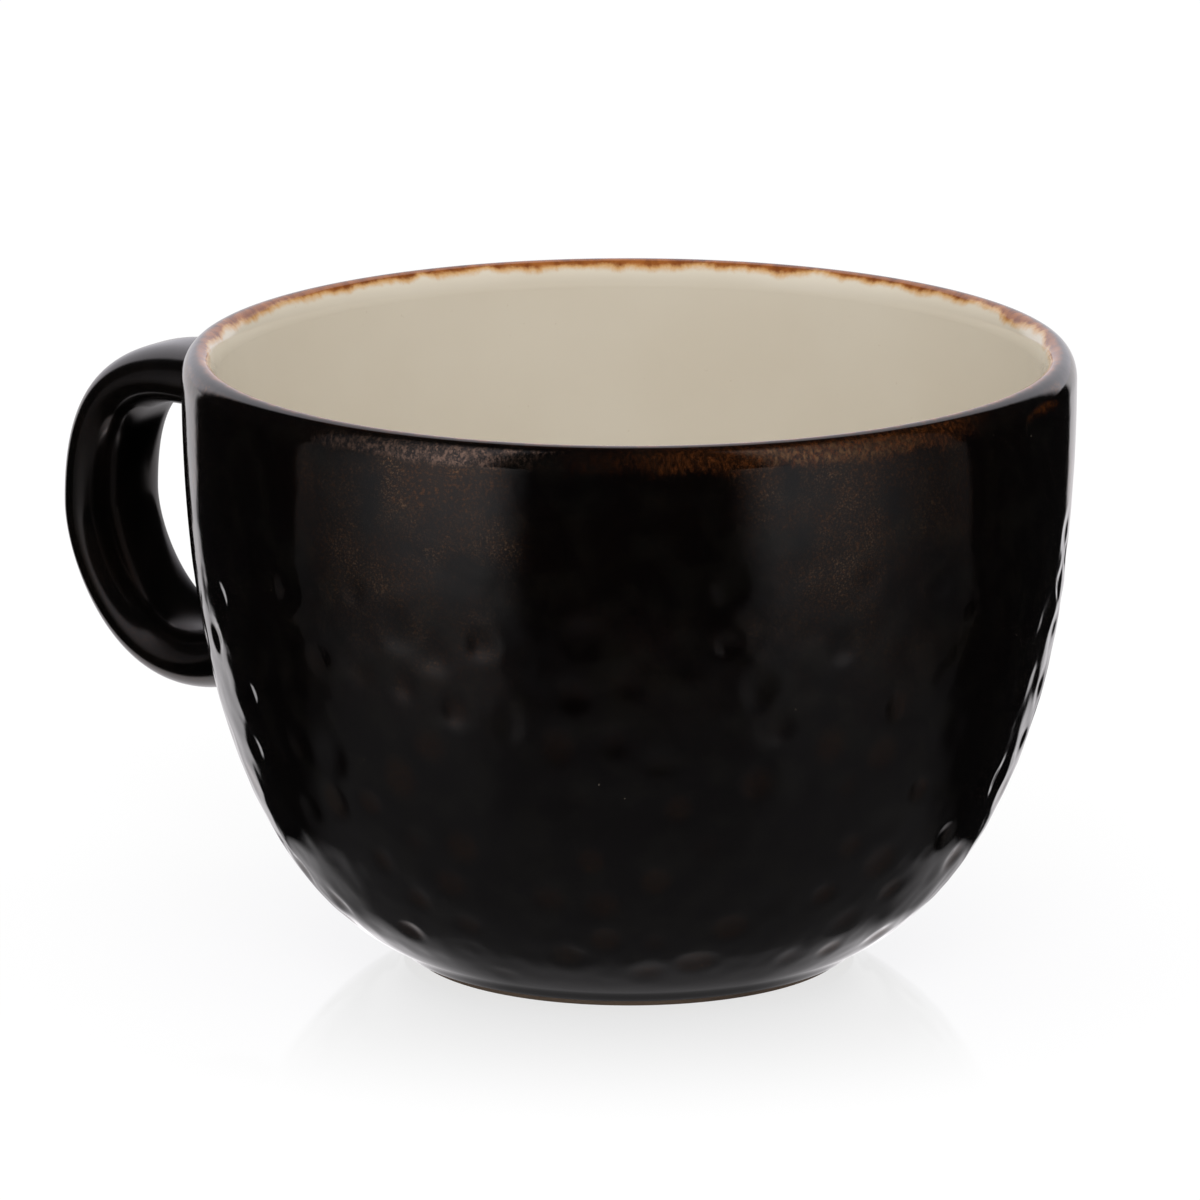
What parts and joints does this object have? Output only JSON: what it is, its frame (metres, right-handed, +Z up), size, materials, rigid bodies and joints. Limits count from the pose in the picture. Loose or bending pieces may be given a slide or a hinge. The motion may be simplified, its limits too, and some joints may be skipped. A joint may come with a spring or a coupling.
{
  "type": "latte mug",
  "caption": "Wide stoneware latte mug with rounded bowl on a low foot ring, ear-shaped side handle, dark outside glaze and cream inside, for holding hot drinks.",
  "frame": {"origin": "on the table, under the middle of the mug's bounding box", "axes": "+Z up along the bowl's axis, -X towards the handle, so +X runs along the longest extent"},
  "size_m": [0.1414, 0.112, 0.0776],
  "materials": {
    "bare_clay": "matt fired stoneware",
    "dark_glaze": "glossy near-black brown glaze",
    "rim_glaze": "glossy red-brown glaze",
    "cream_glaze": "satin-gloss cream glaze"
  },
  "bodies": {
    "root": {"bowl": "bare_clay", "outside_glaze": "dark_glaze", "rim_glaze": "rim_glaze", "inside_glaze": "cream_glaze", "handle": "bare_clay", "handle_glaze": "dark_glaze", "upper_slip_joint": "dark_glaze", "lower_slip_joint": "dark_glaze"}
  },
  "joints": []
}
